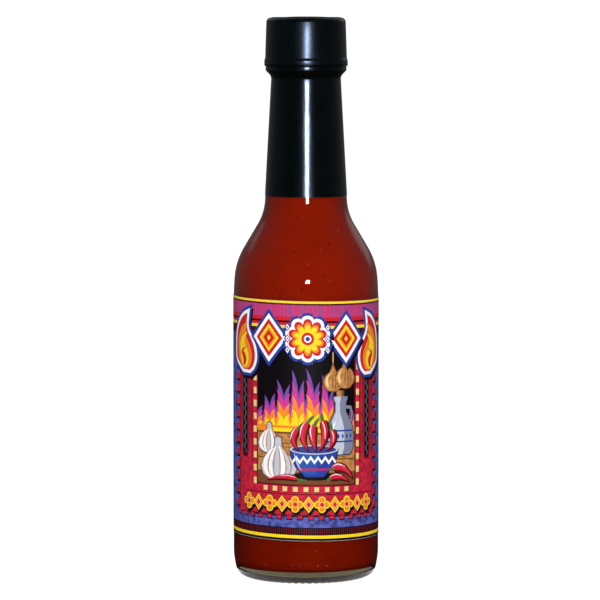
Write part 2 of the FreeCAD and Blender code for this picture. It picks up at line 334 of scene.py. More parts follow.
class Finish(Tree):
    """Builds one node material."""

    def __init__(self, name: str) -> None:
        """Starts a material.

        Args:
            name: The material's name.
        """
        self.material = bpy.data.materials.new(name)
        self.material.use_nodes = True
        super().__init__(self.material.node_tree)
        self.output = self.nodes.new("ShaderNodeOutputMaterial")
        self.surface = self.nodes.new("ShaderNodeBsdfPrincipled")
        self.link(self.surface.outputs["BSDF"], self.output.inputs["Surface"])

    def set(self, **values: float | tuple[float, ...]) -> None:
        """Sets the shader's own sockets.

        Args:
            **values: Socket names, with underscores for spaces, and their values.
        """
        for key, value in values.items():
            self.surface.inputs[key.replace("_", " ")].default_value = value

    def place(self, scale: tuple[float, float, float] = (1.0, 1.0, 1.0)) -> bpy.types.NodeSocket:
        """Gives the piece's own coordinates, stretched.

        Args:
            scale: How much the pattern is packed along each axis.

        Returns:
            The vector socket.
        """
        where = self.nodes.new("ShaderNodeTexCoord")
        stretch = self.nodes.new("ShaderNodeMapping")
        stretch.inputs["Scale"].default_value = scale
        self.link(where.outputs["Object"], stretch.inputs["Vector"])
        return stretch.outputs["Vector"]

    def noise(self, where: bpy.types.NodeSocket, scale: float, detail: float = 2.0) -> bpy.types.NodeSocket:
        """Adds a cloudy pattern.

        Args:
            where: The coordinates.
            scale: Features to the metre.
            detail: How many finer layers it has.

        Returns:
            The pattern's value.
        """
        node = self.nodes.new("ShaderNodeTexNoise")
        node.inputs["Scale"].default_value = scale
        node.inputs["Detail"].default_value = detail
        self.link(where, node.inputs["Vector"])
        return node.outputs["Fac"]

    def blend(
        self, fac: bpy.types.NodeSocket, stops: list[tuple[float, Colour]]
    ) -> bpy.types.NodeSocket:
        """Turns a value into a colour.

        Args:
            fac: The value.
            stops: Positions and the linear colour at each.

        Returns:
            The colour.
        """
        ramp = self.nodes.new("ShaderNodeValToRGB")
        elements = ramp.color_ramp.elements
        while len(elements) < len(stops):
            elements.new(0.5)
        for element, (position, colour) in zip(elements, stops):
            element.position = position
            element.color = (*colour, 1.0)
        self.link(fac, ramp.inputs["Fac"])
        return ramp.outputs["Color"]

    def above(self, start: float, end: float, most: float) -> bpy.types.NodeSocket:
        """Gives a value that grows with height on the piece.

        Args:
            start: The height where it is nothing, in metres.
            end: The height where it is full, in metres, which may be the lower of the two.
            most: The full value.

        Returns:
            The value.
        """
        return self.ramp(self.split(self.place())["Z"], (start, end), (0.0, most))

    def mixed(
        self, fac: bpy.types.NodeSocket, ground: bpy.types.NodeSocket, over: Colour, kind: str = "MIX"
    ) -> bpy.types.NodeSocket:
        """Lays one plain colour over a pattern.

        Args:
            fac: How much of the colour shows.
            ground: The pattern's colour.
            over: The colour laid over it.
            kind: How the two are blended.

        Returns:
            The new colour.
        """
        node = self.nodes.new("ShaderNodeMix")
        node.data_type, node.blend_type = "RGBA", kind
        self.link(fac, node.inputs["Factor"])
        self.link(ground, node.inputs["A"])
        node.inputs["B"].default_value = (*over, 1.0)
        return node.outputs["Result"]

    def gloss(self, fac: bpy.types.NodeSocket) -> None:
        """Lets a pattern set the roughness."""
        self.link(fac, self.surface.inputs["Roughness"])

    def colour(self, colour: bpy.types.NodeSocket) -> None:
        """Lets a pattern set the colour."""
        self.link(colour, self.surface.inputs["Base Color"])

    def span(self, fac: bpy.types.NodeSocket, low: float, high: float) -> bpy.types.NodeSocket:
        """Spreads a value from 0..1 over a range."""
        return self.ramp(fac, (0.0, 1.0), (low, high))

    def bump(self, height: bpy.types.NodeSocket, depth: float, strength: float = 1.0) -> None:
        """Lets a pattern raise the surface.

        Args:
            height: The pattern.
            depth: Its full height in metres.
            strength: How much of it shows.
        """
        node = self.nodes.new("ShaderNodeBump")
        node.inputs["Distance"].default_value = depth
        node.inputs["Strength"].default_value = strength
        self.link(height, node.inputs["Height"])
        self.link(node.outputs["Normal"], self.surface.inputs["Normal"])


@dataclass(frozen=True)
class ClearGlass:
    """Clear bottle glass with the faint ripple of a blown wall."""

    tint: Colour = (0.97, 0.98, 0.97)
    soak: Colour = (0.63, 0.59, 0.50)
    density: float = 120.0
    bending: float = 1.5
    ripple: float = 90.0
    ripple_depth: float = 0.00012
    ripple_share: float = 0.6
    haze: float = 0.012
    frost: float = 0.45
    mark_frost: float = 0.28
    frost_low: float = 0.0015
    frost_top: float = 0.0024

    def build(self) -> bpy.types.Material:
        """Makes the material: smooth but for the raised marks and the stippled underside."""
        finish = Finish("clear_glass")
        finish.set(Transmission_Weight=1.0, IOR=self.bending, Roughness=0.0, Base_Color=(*self.tint, 1.0))
        ripple = finish.noise(finish.place((1.0, 1.0, 0.45)), self.ripple, 1.0)
        finish.bump(ripple, self.ripple_depth, self.ripple_share)
        smooth = finish.span(finish.noise(finish.place(), 260.0), 0.0, self.haze)
        marks = finish.nodes.new("ShaderNodeAttribute")
        marks.attribute_name = MARKS
        marked = finish.maths("MULTIPLY", marks.outputs["Fac"], self.mark_frost)
        worn = finish.joined("MAXIMUM", smooth, marked)
        underside = finish.above(self.frost_top, self.frost_low, self.frost)
        finish.gloss(finish.joined("MAXIMUM", worn, underside))
        soak = finish.nodes.new("ShaderNodeVolumeAbsorption")
        soak.inputs["Color"].default_value = (*self.soak, 1.0)
        soak.inputs["Density"].default_value = self.density
        finish.link(soak.outputs["Volume"], finish.output.inputs["Volume"])
        return finish.material


@dataclass(frozen=True)
class RedSauce:
    """Pepper sauce: an opaque red brown with seeds and flecks of skin in it."""

    body: Colour = (0.270, 0.0105, 0.0003)
    deep: Colour = (0.235, 0.0085, 0.0003)
    seed: Colour = (0.11, 0.003, 0.0003)
    flake: Colour = (0.36, 0.045, 0.010)
    # Painted shade: this grey multiplies the sauce's colour over its lowest part, standing in for the light
    # falling off there.
    foot_shade: Colour = (0.70, 0.70, 0.70)
    foot_shade_top: float = 0.095
    foot_shade_low: float = 0.012
    rough: float = 0.6

    def build(self) -> bpy.types.Material:
        """Makes the material, with painted shade that darkens it towards the foot."""
        finish = Finish("hot_sauce")
        cloud = finish.noise(finish.place((1.0, 1.0, 0.6)), 85.0, 3.0)
        colour = finish.blend(cloud, [(0.3, self.deep), (0.7, self.body)])
        specks = ((260.0, 0.13, self.seed), (215.0, 0.10, self.flake), (330.0, 0.09, self.seed))
        for scale, reach, speck in specks:
            colour = self._specks(finish, colour, scale, reach, speck)
        # Painted shade: the colour is multiplied darker towards the foot of the sauce.
        low = finish.above(self.foot_shade_top, self.foot_shade_low, 1.0)
        finish.colour(finish.mixed(low, colour, self.foot_shade, "MULTIPLY"))
        finish.set(Roughness=self.rough, Specular_IOR_Level=0.0)
        return finish.material

    @staticmethod
    def _specks(
        finish: Finish, ground: bpy.types.NodeSocket, scale: float, reach: float, colour: Colour
    ) -> bpy.types.NodeSocket:
        """Scatters small specks through the sauce.

        Args:
            finish: The material.
            ground: The sauce's colour.
            scale: Specks to the metre, each way.
            reach: A speck's radius as a share of the space between specks.
            colour: The specks' colour.

        Returns:
            The speckled colour.
        """
        cells = finish.nodes.new("ShaderNodeTexVoronoi")
        cells.inputs["Scale"].default_value = scale
        finish.link(finish.place(), cells.inputs["Vector"])
        inside = finish.ramp(cells.outputs["Distance"], (reach * 0.5, reach), (1.0, 0.0))
        return finish.mixed(inside, ground, colour)


@dataclass(frozen=True)
class BandFilm:
    """Glossy black film, drawn tight by heat, and a little duller over the cap."""

    colour: Colour = (0.0005, 0.0014, 0.0010)
    shine: Colour = (0.55, 0.70, 1.0)
    bending: float = 1.5
    wrinkle: float = 190.0
    wrinkle_depth: float = 0.00016
    wrinkle_share: float = 0.6
    cap_foot: float = 0.1625
    cap_haze: float = 0.08

    def build(self) -> bpy.types.Material:
        """Makes the material."""
        finish = Finish("band_film")
        where = finish.place((1.0, 1.0, 0.3))
        cloud = finish.noise(where, 420.0, 3.0)
        finish.colour(finish.blend(cloud, [(0.35, self.colour), (0.75, shaded(self.colour, 1.5))]))
        loose = finish.above(self.cap_foot - MM, self.cap_foot, self.cap_haze)
        finish.gloss(finish.joined("ADD", finish.span(cloud, 0.16, 0.22), loose))
        finish.bump(finish.noise(where, self.wrinkle, 3.0), self.wrinkle_depth, self.wrinkle_share)
        finish.set(IOR=self.bending, Specular_Tint=(*self.shine, 1.0))
        return finish.material


@dataclass(frozen=True)
class CapPlastic:
    """Black moulded plastic with a fine satin grain."""

    colour: Colour = (0.0055, 0.0055, 0.006)
    grain: float = 2400.0
    grain_depth: float = 0.00003
    grain_share: float = 0.6

    def build(self) -> bpy.types.Material:
        """Makes the material."""
        finish = Finish("cap_plastic")
        grain = finish.noise(finish.place(), self.grain, 2.0)
        finish.colour(finish.blend(grain, [(0.3, self.colour), (0.8, shaded(self.colour, 1.6))]))
        finish.gloss(finish.span(grain, 0.32, 0.46))
        finish.bump(grain, self.grain_depth, self.grain_share)
        return finish.material


# ---------------------------------------------------------------- the label's print


Tint = tuple[int, int, int]


@dataclass(frozen=True)
class Print:
    """One printed finish: a screen colour, and what breaks it up."""

    tint: Tint
    clouds: Tint | None = None
    stripe: Tint | None = None
    pitch: float = 1.0
    line: float = 0.3
    patch: float = 1.6

    @staticmethod
    def light(tint: Tint) -> Colour:
        """Turns a screen colour into light, from 0 to 1."""
        shares = (c / 255.0 for c in tint)
        return tuple(c / 12.92 if c <= 0.04045 else ((c + 0.055) / 1.055) ** 2.4 for c in shares)


class Ink(Enum):
    """The label's printing inks."""

    YELLOW = Print((252, 214, 34))
    ORANGE = Print((238, 138, 34))
    RED = Print((206, 30, 42))
    CRIMSON = Print((204, 34, 60), clouds=(170, 24, 52))
    ROSE = Print((214, 46, 84))
    MAROON = Print((98, 14, 28))
    BLACK = Print((14, 10, 14))
    COBALT = Print((40, 62, 152))
    PERIWINKLE = Print((92, 100, 180), clouds=(56, 60, 124))
    INDIGO = Print((58, 62, 132))
    VIOLET = Print((118, 72, 160))
    MAGENTA = Print((214, 54, 140))
    WHITE = Print((248, 245, 248))
    PALE = Print((190, 195, 210))
    GREY = Print((122, 127, 147))
    CREAM = Print((240, 204, 132))
    TAN = Print((196, 140, 82), clouds=(168, 110, 56))
    BROWN = Print((118, 70, 38))
    TEAL = Print((44, 122, 130))
    GREEN = Print((66, 116, 54))
    BLUE = Print((34, 84, 168))
    PANEL = Print((240, 232, 206))
    PAPER = Print((206, 206, 200))
    DARK_PINS = Print((14, 10, 14), stripe=(122, 24, 40), pitch=0.72, line=0.24)
    ROSE_PINS = Print((212, 48, 86), stripe=(100, 82, 164), pitch=1.45, line=0.5)
    PANEL_PINS = Print((196, 32, 56), stripe=(110, 16, 32), pitch=1.3, line=0.35)


PICTURE_LEFT, PICTURE_RIGHT, PICTURE_FOOT, PANEL_TOP = -16.4, 16.5, 17.8, 66.0


def bar(left: float, low: float, right: float, high: float) -> Points:
    """Gives the corners of an upright bar."""
    return [(left, low), (right, low), (right, high), (left, high)]


def flank(side: float, near: float, far: float, low: float, high: float) -> Points:
    """Gives an upright bar on one side of the label's middle.

    Args:
        side: -1 for the left or 1 for the right.
        near: How far from the middle it starts.
        far: How far from the middle it ends.
        low: Its foot.
        high: Its top.

    Returns:
        The corners.
    """
    left, right = sorted((side * near, side * far))
    return bar(left, low, right, high)


def mirrored(half: Points) -> Points:
    """Closes an outline's right half, drawn from the foot to the top, with its mirror image."""
    return half + [(-x, y) for x, y in half[-2:0:-1]]


def ring(x: float, y: float, across: float, up: float, sides: int, start: float = 90.0) -> Points:
    """Gives a regular or flattened many-sided shape.

    Args:
        x: Its middle along the label.
        y: Its middle up the label.
        across: Its half width.
        up: Its half height.
        sides: The number of corners.
        start: The first corner's direction in degrees.

    Returns:
        The corners.
    """
    turns = (math.radians(start) + math.tau * i / sides for i in range(sides))
    return [(x + across * math.cos(t), y + up * math.sin(t)) for t in turns]


def rosette(x: float, y: float, out: float, dip: float, petals: int) -> Points:
    """Gives a flower outline whose edge swings between two radii.

    Args:
        x: Its middle along the label.
        y: Its middle up the label.
        out: The radius at a petal's tip.
        dip: The radius between petals.
        petals: The number of petals.

    Returns:
        The corners.
    """
    made = []
    for i in range(petals * 8):
        turn = math.tau * i / (petals * 8)
        reach = dip + (out - dip) * abs(math.cos(turn * petals / 2.0)) ** 0.7
        made.append((x + reach * math.sin(turn), y + reach * math.cos(turn)))
    return made


def blade(spine: Points, width: float, fullness: float = 0.6, steps: int = 14) -> Points:
    """Gives a leaf, pepper or flame: a bent spine with a width that swells and runs out to points.

    Args:
        spine: Four control points of the spine.
        width: The greatest width.
        fullness: Where the swelling sits: under 1 nearer the first end, over 1 nearer the last.
        steps: The number of steps along the spine.

    Returns:
        The corners.
    """
    left, right = [], []
    (ax, ay), (bx, by), (cx, cy), (dx, dy) = spine
    for i in range(steps + 1):
        t = i / steps
        u = 1.0 - t
        x = u * u * u * ax + 3 * u * u * t * bx + 3 * u * t * t * cx + t * t * t * dx
        y = u * u * u * ay + 3 * u * u * t * by + 3 * u * t * t * cy + t * t * t * dy
        sx = u * u * (bx - ax) + 2 * u * t * (cx - bx) + t * t * (dx - cx)
        sy = u * u * (by - ay) + 2 * u * t * (cy - by) + t * t * (dy - cy)
        length = math.hypot(sx, sy) or 1.0
        half = width / 2.0 * math.sin(math.pi * t ** fullness) ** 0.8 if 0 < i < steps else 0.0
        left.append((x - sy / length * half, y + sx / length * half))
        right.append((x + sy / length * half, y - sx / length * half))
    return left + right[-2:0:-1]


def leftward(points: Points) -> Points:
    """Gives the outline with its corners turning to the left."""
    area = sum(a[0] * b[1] - b[0] * a[1] for a, b in zip(points, points[1:] + points[:1]))
    return points if area > 0 else points[::-1]


def grown(points: Points, by: float) -> Points:
    """Moves every side of a closed outline outwards.

    Args:
        points: The outline.
        by: How far, in millimetres; inwards if negative.

    Returns:
        The new outline, turning to the left.
    """
    points = leftward(points)
    made = []
    for before, here, after in zip(points[-1:] + points[:-1], points, points[1:] + points[:1]):
        one = Vector((here[1] - before[1], before[0] - here[0])).normalized()
        two = Vector((after[1] - here[1], here[0] - after[0])).normalized()
        mid = one + two
        mid = mid.normalized() if mid.length > 1e-6 else one
        reach = by / max(0.45, mid.dot(one))
        made.append((here[0] + mid.x * reach, here[1] + mid.y * reach))
    return made


def moved(points: Points, x: float, y: float, grow: float = 1.0) -> Points:
    """Moves an outline, and grows it about its own zero point first."""
    return [(x + px * grow, y + py * grow) for px, py in points]


@dataclass
class Artwork:
    """The flat print: shapes painted one over another, in millimetres along and up the label."""

    half: float
    height: float
    shapes: list[tuple[Ink, Points]] = field(default_factory=list)

    def add(self, ink: Ink, *outlines: Points) -> None:
        """Paints outlines over what is there.

        Args:
            ink: The ink.
            *outlines: The closed outlines.
        """
        self.shapes.extend((ink, outline) for outline in outlines)

    def paint(self) -> None:
        """Paints the whole label, from the ground up."""
        self.add(Ink.PERIWINKLE, bar(-self.half, 0.0, self.half, self.height))
        self._frame()
        self._columns()
        self._picture()
        self._squares()
        self._side_panels()
        self._top_bands()
        self._foot_bands()
        self._title_row()
        self._foot_row()

    def _band(self, ink: Ink, low: float, high: float) -> None:
        """Rules a band right round the label."""
        self.add(ink, bar(-self.half, low, self.half, high))

    def _frame(self) -> None:
        """Paints the crimson frame with its notched edge."""
        self.add(Ink.BLACK, bar(-26.1, 7.6, 26.7, PANEL_TOP))
        for side in SIDES:
            for i in range(14):
                low = 9.4 + 4.0 * i
                tab = flank(side, 25.0, 28.2, low, low + 2.1)
                self.add(Ink.BLACK, moved(grown(tab, 0.35), 0.3, -0.4))
                self.add(Ink.CRIMSON, tab)
        for i in range(16):
            left = -26.3 + 3.38 * i
            self.add(Ink.BLACK, bar(left - 0.2, 6.5, left + 1.75, 8.6))
            self.add(Ink.CRIMSON, bar(left, 6.85, left + 1.5, 9.0))
        self.add(Ink.CRIMSON, bar(-25.6, 7.95, 26.2, PANEL_TOP))
        for side in SIDES:
            for left, low in ((18.75, 24.0), (25.35, 10.0)):
                for x in (left, left + 0.35):
                    self.add(Ink.MAROON, bar(side * x - 0.1, low, side * x + 0.1, 60.0))

    def _columns(self) -> None:
        """Paints the black columns with teal zigzags."""
        for side in SIDES:
            middle = side * 22.4
            for x, low in ((-2.3, 29.0), (-1.7, 27.0), (1.7, 27.0), (2.3, 29.0), (2.9, 31.0)):
                self.add(Ink.MAROON, bar(middle + x - 0.13, low, middle + x + 0.13, 56.0))
            self.add(Ink.MAROON, bar(middle - 1.3, 25.2, middle + 1.3, 56.0))
            self.add(Ink.BLACK, bar(middle - 1.05, 25.9, middle + 1.05, 56.0))
            bends = [(0.22 + 0.5 * math.sin(math.pi * i / 2.0), 26.3 + 0.74 * i) for i in range(40)]
            right = moved(bends, middle, 0.0)
            left = [(x - 0.5, y) for x, y in reversed(right)]
            self.add(Ink.TEAL, right + left)

    def _squares(self) -> None:
        """Sets the cream squares round the picture."""
        for x in (-17.55, 17.85):
            for i in range(10):
                y = 18.2 + 4.05 * i
                self.add(Ink.MAROON, bar(x - 0.55, y - 1.2, x + 0.85, y + 0.85))
                self.add(Ink.CREAM, bar(x - 0.65, y - 1.0, x + 0.6, y + 1.0))
        for i in range(9):
            x = -13.4 + 3.35 * i
            self.add(Ink.MAROON, bar(x - 0.65, 15.2, x + 0.95, 16.8))
            self.add(Ink.CREAM, bar(x - 0.75, 15.5, x + 0.75, 17.0))

    def _picture(self) -> None:
        """Paints the kitchen still life in the middle."""
        self.add(Ink.MAROON, bar(-16.9, 17.3, 17.0, 60.0))
        self._fill(Ink.BLACK, PICTURE_FOOT, 60.0)
        self._fire()
        self._table()
        self._jug()
        self._onion()
        self._garlic()
        self._bowl()
        self._peppers()

    def _fill(self, ink: Ink, low: float, high: float) -> None:
        """Fills the picture's width between two heights."""
        self.add(ink, bar(PICTURE_LEFT, low, PICTURE_RIGHT, high))

    def _fire(self) -> None:
        """Paints the fire behind the table."""
        foot, count = 34.0, 14
        layers = (
            (Ink.VIOLET, 1.0, 1.0), (Ink.MAGENTA, 0.82, 0.92),
            (Ink.ORANGE, 0.60, 0.9), (Ink.YELLOW, 0.38, 0.8),
        )
        for ink, tall, wide in layers:
            for i in range(count):
                x = -15.4 + 2.35 * i
                sway = (1.1, -0.8, 0.7, -1.2)[i % 4]
                arch = math.sin(math.pi * (i + 0.5) / count) * (1.0 if i % 2 else 0.72)
                rise = (7.0 + 13.5 * arch) * tall
                spine = [
                    (x, foot - 5.0), (x + sway * 1.6, foot + rise * 0.3),
                    (x - sway * 2.0, foot + rise * 0.62), (x + sway * 0.9, foot + rise),
                ]
                self.add(ink, blade(spine, 3.0 * wide, 0.62))
        self._fill(Ink.ORANGE, 32.5, 36.2)
        self.add(Ink.YELLOW, bar(-13.0, 32.5, 13.0, 35.4))

    def _table(self) -> None:
        """Paints the planked table."""
        self._fill(Ink.BROWN, PICTURE_FOOT, 34.2)
        planks = (
            (17.8, 21.3, Ink.BROWN), (21.7, 25.6, Ink.TAN), (26.0, 29.3, Ink.TAN), (29.6, 33.6, Ink.TAN),
        )
        for low, high, ink in planks:
            self._fill(ink, low, high)
        for i in range(22):
            x = -15.8 + (i * 7.3) % 31.0
            y = 18.6 + (i * 3.1) % 14.6
            grain = [(x, y), (x + 1.2, y + 0.25), (x + 2.6, y - 0.2), (x + 4.0, y)]
            self.add(Ink.BROWN, blade(grain, 0.32, 1.0, 6))

    def _jug(self) -> None:
        """Paints the grey stoneware jug."""
        middle = 11.2
        half = [
            (0.0, 27.2), (3.6, 27.2), (4.6, 29.0), (5.0, 32.4), (4.5, 36.0), (3.0, 38.8), (2.0, 40.6),
            (1.9, 43.4), (2.5, 44.4), (2.5, 45.4), (0.0, 45.4),
        ]
        outline = moved(mirrored(half), middle, 0.0)
        handle = [
            (13.0, 42.6), (15.2, 42.4), (15.9, 40.2), (15.5, 37.6), (14.4, 36.2), (14.0, 36.9), (14.9, 38.2),
            (15.1, 40.0), (14.7, 41.4), (13.0, 41.6),
        ]
        self.add(Ink.BLACK, grown(outline, 0.3), grown(handle, 0.25))
        self.add(Ink.GREY, handle, outline)
        right = [(middle + x * 0.55 - 1.3, y) for x, y in half]
        left = [(middle - x * 0.82, y) for x, y in half[-2:0:-1]]
        self.add(Ink.PALE, right + left)
        self.add(Ink.WHITE, blade([(8.3, 29.4), (7.5, 31.5), (7.8, 34.6), (9.7, 38.0)], 0.8, 1.0))
        for left_end, low, right_end in ((6.7, 31.0, 15.7), (6.85, 34.4, 15.5)):
            self.add(Ink.COBALT, bar(left_end, low, right_end, low + 0.5))
        for i in range(6):
            self.add(Ink.COBALT, ring(7.5 + 1.5 * i, 32.95, 0.42, 0.9, 4))
        self.add(Ink.TAN, bar(9.9, 45.4, 12.5, 47.3))
        self.add(Ink.BROWN, bar(11.6, 45.4, 12.5, 47.3))

    def _onion(self) -> None:
        """Paints the two brown onions that hang at the upper right."""
        onions = ((8.6, 50.4, 1.0, 55.0), (12.9, 51.6, 1.1, 56.0))
        half = [
            (0.0, -3.3), (1.6, -3.0), (2.9, -1.6), (3.1, 0.0), (2.3, 1.6), (1.0, 2.6), (0.4, 4.0), (0.0, 5.2),
        ]
        shine = blade([(-1.5, -1.9), (-2.5, -0.6), (-2.3, 1.0), (-0.7, 2.6)], 0.8)
        for x, _, _, knot in onions:
            self.add(Ink.BROWN, bar(x - 0.28, knot, x + 0.28, 64.0))
            self.add(Ink.CREAM, bar(x - 0.12, knot, x + 0.1, 64.0))
        for x, y, size, _ in onions:
            whole = moved(mirrored(half), x, y, size)
            self.add(Ink.BROWN, grown(whole, 0.3))
            self.add(Ink.TAN, whole)
            self.add(Ink.CREAM, moved(shine, x, y, size))
            for bend in (-0.1, 1.2, 2.4):
                line = [(bend * 0.3, -3.0), (bend * 1.1, -1.4), (bend * 1.0, 0.9), (0.15, 3.2)]
                self.add(Ink.BROWN, moved(blade(line, 0.34, 1.0, 8), x, y, size))

    def _garlic(self) -> None:
        """Paints the garlic bulbs at the lower left."""
        half = [
            (0.0, -3.5), (2.0, -3.4), (4.0, -2.3), (4.7, -0.4), (3.9, 1.6), (2.0, 3.0), (0.95, 4.4),
            (0.75, 6.6), (0.0, 6.9),
        ]
        cloves = (
            blade([(-1.0, -3.2), (-3.6, -1.6), (-3.4, 1.4), (-0.4, 4.6)], 2.6, 0.9),
            blade([(0.6, -3.2), (1.9, -1.4), (1.6, 1.6), (0.2, 5.0)], 1.7, 0.9),
        )
        for x, y, size in ((-12.0, 30.6, 0.92), (-9.0, 23.6, 1.3)):
            whole = moved(mirrored(half), x, y, size)
            self.add(Ink.BROWN, grown(whole, 0.32))
            self.add(Ink.PALE, whole)
            for clove in cloves:
                self.add(Ink.WHITE, moved(clove, x, y, size))
            for bend in (-3.4, -1.5, 0.7, 2.6, 4.2):
                line = [(bend * 0.35, -3.3), (bend * 1.05, -1.5), (bend * 0.9, 1.6), (bend * 0.08, 5.2)]
                self.add(Ink.TAN, moved(blade(line, 0.36, 1.0, 9), x, y, size))
            for side in SIDES:
                root = [(0.3 * side, -3.3), (0.8 * side, -3.8), (1.3 * side, -3.9), (1.8 * side, -4.3)]
                self.add(Ink.BROWN, moved(blade(root, 0.35, 1.0, 6), x, y, size))

    def _bowl(self) -> None:
        """Paints the blue bowl with its white zigzag."""
        x, rim = 2.6, 28.8
        self.add(Ink.BLACK, ring(x, 20.4, 7.4, 1.3, 24))
        half = [(2.9, -8.6), (3.8, -7.6), (5.8, -5.4), (7.1, -2.6), (7.6, 0.0)]
        side = moved([(-a, b) for a, b in reversed(half)] + half, x, rim)
        self.add(Ink.BLACK, grown(side, 0.3))
        self.add(Ink.COBALT, side)
        lit = [(-6.9, 0.0), (-6.4, -2.6), (-5.1, -5.4), (-3.3, -7.4), (0.6, -7.9), (1.8, 0.0)]
        self.add(Ink.BLUE, moved(lit, x, rim))
        zig = [(-6.9 + 1.15 * i, -1.9 if i % 2 else -3.5) for i in range(13)]
        self.add(Ink.WHITE, moved(zig + [(a, b - 1.1) for a, b in reversed(zig)], x, rim))
        self.add(Ink.RED, moved([(-5.4, -5.9), (5.4, -5.9), (4.95, -6.5), (-4.95, -6.5)], x, rim))
        shine = moved([(-6.3, -1.0), (-6.0, -3.4), (-5.2, -5.0), (-3.8, -7.0)], x, rim)
        self.add(Ink.PALE, blade(shine, 0.45, 1.0))
        self.add(Ink.PALE, ring(x, rim, 7.8, 1.5, 32))
        self.add(Ink.INDIGO, ring(x, rim, 7.1, 1.15, 32))

    def _pepper(self, spine: Points, width: float) -> None:
        """Paints one pepper with its stalk and shine.

        Args:
            spine: The control points from the stalk to the tip.
            width: The greatest width.
        """
        def lifted(across: float, up: float) -> Points:
            """Moves the spine by shares of the pepper's width."""
            return [(x + width * across, y + width * up) for x, y in spine]

        (ax, ay), (bx, by) = spine[0], spine[1]
        way = Vector((ax - bx, ay - by)).normalized()
        self.add(Ink.BLACK, grown(blade(spine, width, 0.5), 0.26))
        self.add(Ink.MAROON, blade(spine, width, 0.5))
        self.add(Ink.RED, blade(lifted(-0.10, 0.12), width * 0.78, 0.5))
        shine = lifted(-0.18, 0.2)
        self.add(Ink.ROSE, blade(shine, width * 0.30, 0.5))
        self.add(Ink.WHITE, blade(lifted(-0.23, 0.25)[:2] + shine[1:3], width * 0.12, 1.0, 6))
        bends = ((-0.5, 0.0, 0.0), (0.7, 0.0, 0.0), (1.5, 0.3, 0.4), (2.1, 0.9, 0.6))
        stalk = [(ax + way.x * far + x, ay + way.y * far + y) for far, x, y in bends]
        self.add(Ink.GREEN, blade(stalk, width * 0.45, 0.7, 8))

    def _peppers(self) -> None:
        """Heaps peppers in the bowl and lays more on the table."""
        for spine, width in (
            ([(-2.6, 35.2), (-4.2, 33.2), (-4.6, 31.0), (-2.4, 28.6)], 2.3),
            ([(8.2, 35.0), (9.4, 32.8), (9.0, 30.4), (7.0, 28.6)], 2.3),
            ([(0.6, 37.4), (-1.2, 35.0), (-1.6, 31.6), (0.8, 28.4)], 2.6),
            ([(5.2, 38.0), (6.6, 35.2), (6.4, 31.4), (4.4, 28.4)], 2.6),
            ([(2.6, 36.4), (1.6, 34.0), (2.4, 31.0), (3.2, 28.2)], 2.6),
            ([(8.6, 22.6), (11.0, 23.9), (13.6, 22.6), (16.0, 19.2)], 2.8),
            ([(7.6, 19.6), (10.0, 20.8), (12.4, 20.0), (14.4, 18.4)], 2.1),
            ([(-2.6, 19.4), (-5.0, 20.4), (-8.6, 20.0), (-12.6, 18.7)], 1.7),
        ):
            self._pepper(spine, width)

    def _side_panels(self) -> None:
        """Rules off the front, and paints the bare panels at the sides and back."""
        low, start = 6.8, 35.2
        for side in SIDES:
            self.add(Ink.BLACK, flank(side, start, start + 2.4, low, PANEL_TOP))
            self.add(Ink.YELLOW, flank(side, start + 0.5, start + 1.3, low, PANEL_TOP))
            self.add(Ink.PANEL_PINS, flank(side, start + 1.9, self.half, low, PANEL_TOP))
            box = flank(side, start + 4.6, self.half - 2.6, 9.6, 63.2)
            for ink, by in ((Ink.BLACK, 1.3), (Ink.YELLOW, 0.95), (Ink.COBALT, 0.4), (Ink.PANEL, -0.3)):
                self.add(ink, grown(box, by))
            for x in (box[0][0] + 2.2, box[1][0] - 2.2):
                for y in (11.8, 61.0):
                    self.add(Ink.CRIMSON, rosette(x, y, 1.25, 0.7, 6))
                    self.add(Ink.YELLOW, ring(x, y, 0.4, 0.4, 12))

    def _top_bands(self) -> None:
        """Rules the bands along the upper edge."""
        h = self.height
        self._band(Ink.BLACK, h - 11.1, h - 8.5)
        self._band(Ink.DARK_PINS, h - 10.8, h - 8.7)
        self._band(Ink.YELLOW, h - 8.5, h - 7.6)
        self._band(Ink.RED, h - 7.5, h - 6.7)
        self._band(Ink.BLACK, h - 6.7, h - 6.1)
        self._band(Ink.RED, h - 6.1, h - 4.9)
        self._band(Ink.ROSE_PINS, h - 4.9, h - 1.2)
        self._band(Ink.MAROON, h - 1.2, h - 0.95)
        self._band(Ink.BLACK, h - 0.95, h - 0.7)
        self._band(Ink.YELLOW, h - 0.7, h - 0.05)
        self._band(Ink.PAPER, h - 0.05, h)

    def _foot_bands(self) -> None:
        """Rules the bands along the lower edge."""
        self._band(Ink.BLACK, 0.08, 4.2)
        self._band(Ink.YELLOW, 0.82, 1.82)
        self._band(Ink.DARK_PINS, 2.12, 3.9)
        self._band(Ink.PAPER, 0.0, 0.08)

    def _jewel(self, outline: Points, cores: list[tuple[Ink, Points]], edge: float = 1.0) -> None:
        """Paints an ornament with its outlines and shadow.

        Args:
            outline: The ornament's red body.
            cores: What is painted in it.
            edge: The width of its white line.
        """
        self.add(Ink.BLACK, moved(grown(outline, edge * 1.75), 0.7, -1.1))
        self.add(Ink.COBALT, grown(outline, edge * 1.9))
        self.add(Ink.WHITE, grown(outline, edge))
        self.add(Ink.RED, outline)
        for ink, points in cores:
            self.add(ink, points)

    def _flame(self, x: float, low: float, sway: float) -> None:
        """Paints a flame ornament.

        Args:
            x: Its middle along the label.
            low: Its foot.
            sway: How far it leans, and which way.
        """
        tall, wide = 17.2, 10.4

        def tongue(share: float, fat: float) -> Points:
            """Gives the flame at a share of its size."""
            spine = [
                (x, low + (1 - share) * 1.6), (x + sway, low + tall * 0.34),
                (x - sway * 1.7, low + tall * 0.62 * share), (x + sway * 0.8, low + 0.6 + tall * share),
            ]
            return blade(spine, wide * fat, 0.58, 22)

        tongues = ((Ink.ORANGE, 0.84, 0.72), (Ink.YELLOW, 0.66, 0.42), (Ink.RED, 0.40, 0.17))
        self._jewel(tongue(1.0, 1.0), [(ink, tongue(share, fat)) for ink, share, fat in tongues])

